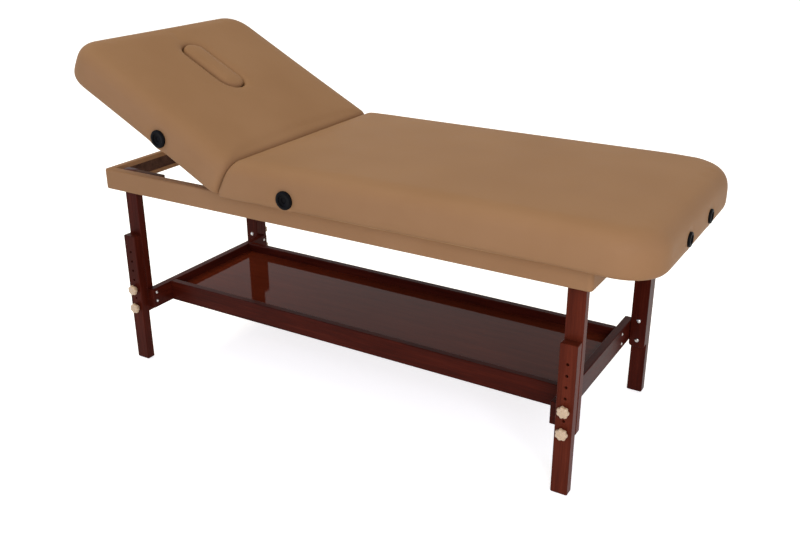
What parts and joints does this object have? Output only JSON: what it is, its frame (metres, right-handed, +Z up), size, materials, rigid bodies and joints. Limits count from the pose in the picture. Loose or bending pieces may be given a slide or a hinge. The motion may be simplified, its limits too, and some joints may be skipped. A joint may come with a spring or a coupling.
{
  "type": "facial bed",
  "caption": "Treatment bed with a padded top, a lift-up backrest on ratchet hinges, wooden telescoping legs with star knobs and a low shelf.",
  "frame": {"origin": "on the floor, under the middle of the bed's overall box with the backrest as pictured", "axes": "+X towards the foot end, +Y towards the far long side, +Z up"},
  "size_m": [1.816, 0.7492, 1.0224],
  "materials": {
    "tan_vinyl": "satin",
    "apron_vinyl": "satin",
    "mahogany_wood": "gloss",
    "shelf_wood": "gloss",
    "plain_wood": "matte",
    "black_plastic": "satin",
    "cream_plastic": "gloss",
    "steel": "satin"
  },
  "bodies": {
    "frame": {"apron_rail_near": "apron_vinyl", "apron_rail_far": "apron_vinyl", "apron_rail_head": "apron_vinyl", "apron_rail_foot": "apron_vinyl", "cross_rail_seat": "plain_wood", "cross_rail_middle": "plain_wood", "rest_cleat_near": "plain_wood", "rest_cleat_far": "plain_wood", "leg_post_near_head": "mahogany_wood", "leg_post_near_foot": "mahogany_wood", "leg_post_far_head": "mahogany_wood", "leg_post_far_foot": "mahogany_wood", "leg_bolt_near_head_lower": "steel", "leg_bolt_near_head_upper": "steel", "leg_bolt_near_foot_lower": "steel", "leg_bolt_near_foot_upper": "steel", "leg_bolt_far_head_lower": "steel", "leg_bolt_far_head_upper": "steel", "leg_bolt_far_foot_lower": "steel", "leg_bolt_far_foot_upper": "steel", "stretcher_head": "mahogany_wood", "stretcher_foot": "mahogany_wood", "shelf_rail_near": "mahogany_wood", "shelf_rail_far": "mahogany_wood", "shelf_panel": "shelf_wood", "main_pad": "tan_vinyl", "deck_board": "plain_wood", "port_cap_seat_near": "black_plastic", "port_cap_seat_far": "black_plastic", "port_cap_foot_near": "black_plastic", "port_cap_foot_far": "black_plastic", "ratchet_base_arm_near": "steel", "ratchet_base_arm_far": "steel", "ratchet_pin_near": "steel", "ratchet_pin_far": "steel"},
    "backrest": {"backrest_pad": "tan_vinyl", "backrest_board": "plain_wood", "port_cap_back_near": "black_plastic", "port_cap_back_far": "black_plastic", "ratchet_swing_arm_near": "steel", "ratchet_swing_arm_far": "steel", "ratchet_drum_near": "steel", "ratchet_drum_far": "steel", "backrest_batten_near": "plain_wood", "backrest_batten_far": "plain_wood"},
    "plug": {"face_plug": "tan_vinyl"},
    "leg_near_head": {"lower_leg_near_head": "mahogany_wood"},
    "leg_near_foot": {"lower_leg_near_foot": "mahogany_wood"},
    "leg_far_head": {"lower_leg_far_head": "mahogany_wood"},
    "leg_far_foot": {"lower_leg_far_foot": "mahogany_wood"},
    "knob_near_head_lower": {"knob_near_head_lower": "cream_plastic"},
    "knob_near_head_upper": {"knob_near_head_upper": "cream_plastic"},
    "knob_near_foot_lower": {"knob_near_foot_lower": "cream_plastic"},
    "knob_near_foot_upper": {"knob_near_foot_upper": "cream_plastic"},
    "knob_far_head_lower": {"knob_far_head_lower": "cream_plastic"},
    "knob_far_head_upper": {"knob_far_head_upper": "cream_plastic"},
    "knob_far_foot_lower": {"knob_far_foot_lower": "cream_plastic"},
    "knob_far_foot_upper": {"knob_far_foot_upper": "cream_plastic"}
  },
  "joints": [
    {"name": "backrest_tilt", "type": "hinge", "parent": "frame", "child": "backrest", "pos_m": [-0.34501, 0, 0.6153], "axis": [0, 1, 0], "range_deg": [-27.6, 17.4]},
    {"name": "plug_lift", "type": "slide", "parent": "backrest", "child": "plug", "axis": [0.4633, 0, 0.8862], "range_m": [0, 0.12]},
    {"name": "leg_near_head_height", "type": "slide", "parent": "frame", "child": "leg_near_head", "axis": [0, 0, -1], "range_m": [0, 0.127]},
    {"name": "leg_near_foot_height", "type": "slide", "parent": "frame", "child": "leg_near_foot", "axis": [0, 0, -1], "range_m": [0, 0.127]},
    {"name": "leg_far_head_height", "type": "slide", "parent": "frame", "child": "leg_far_head", "axis": [0, 0, -1], "range_m": [0, 0.127]},
    {"name": "leg_far_foot_height", "type": "slide", "parent": "frame", "child": "leg_far_foot", "axis": [0, 0, -1], "range_m": [0, 0.127]},
    {"name": "knob_near_head_lower_turn", "type": "hinge", "parent": "frame", "child": "knob_near_head_lower", "pos_m": [-0.76001, -0.3203, 0.1845], "axis": [0, -1, 0], "continuous": true},
    {"name": "knob_near_head_upper_turn", "type": "hinge", "parent": "frame", "child": "knob_near_head_upper", "pos_m": [-0.76001, -0.3203, 0.248], "axis": [0, -1, 0], "continuous": true},
    {"name": "knob_near_foot_lower_turn", "type": "hinge", "parent": "frame", "child": "knob_near_foot_lower", "pos_m": [0.70119, -0.3203, 0.1845], "axis": [0, -1, 0], "continuous": true},
    {"name": "knob_near_foot_upper_turn", "type": "hinge", "parent": "frame", "child": "knob_near_foot_upper", "pos_m": [0.70119, -0.3203, 0.248], "axis": [0, -1, 0], "continuous": true},
    {"name": "knob_far_head_lower_turn", "type": "hinge", "parent": "frame", "child": "knob_far_head_lower", "pos_m": [-0.76001, 0.3203, 0.1845], "axis": [0, 1, 0], "continuous": true},
    {"name": "knob_far_head_upper_turn", "type": "hinge", "parent": "frame", "child": "knob_far_head_upper", "pos_m": [-0.76001, 0.3203, 0.248], "axis": [0, 1, 0], "continuous": true},
    {"name": "knob_far_foot_lower_turn", "type": "hinge", "parent": "frame", "child": "knob_far_foot_lower", "pos_m": [0.70119, 0.3203, 0.1845], "axis": [0, 1, 0], "continuous": true},
    {"name": "knob_far_foot_upper_turn", "type": "hinge", "parent": "frame", "child": "knob_far_foot_upper", "pos_m": [0.70119, 0.3203, 0.248], "axis": [0, 1, 0], "continuous": true}
  ]
}
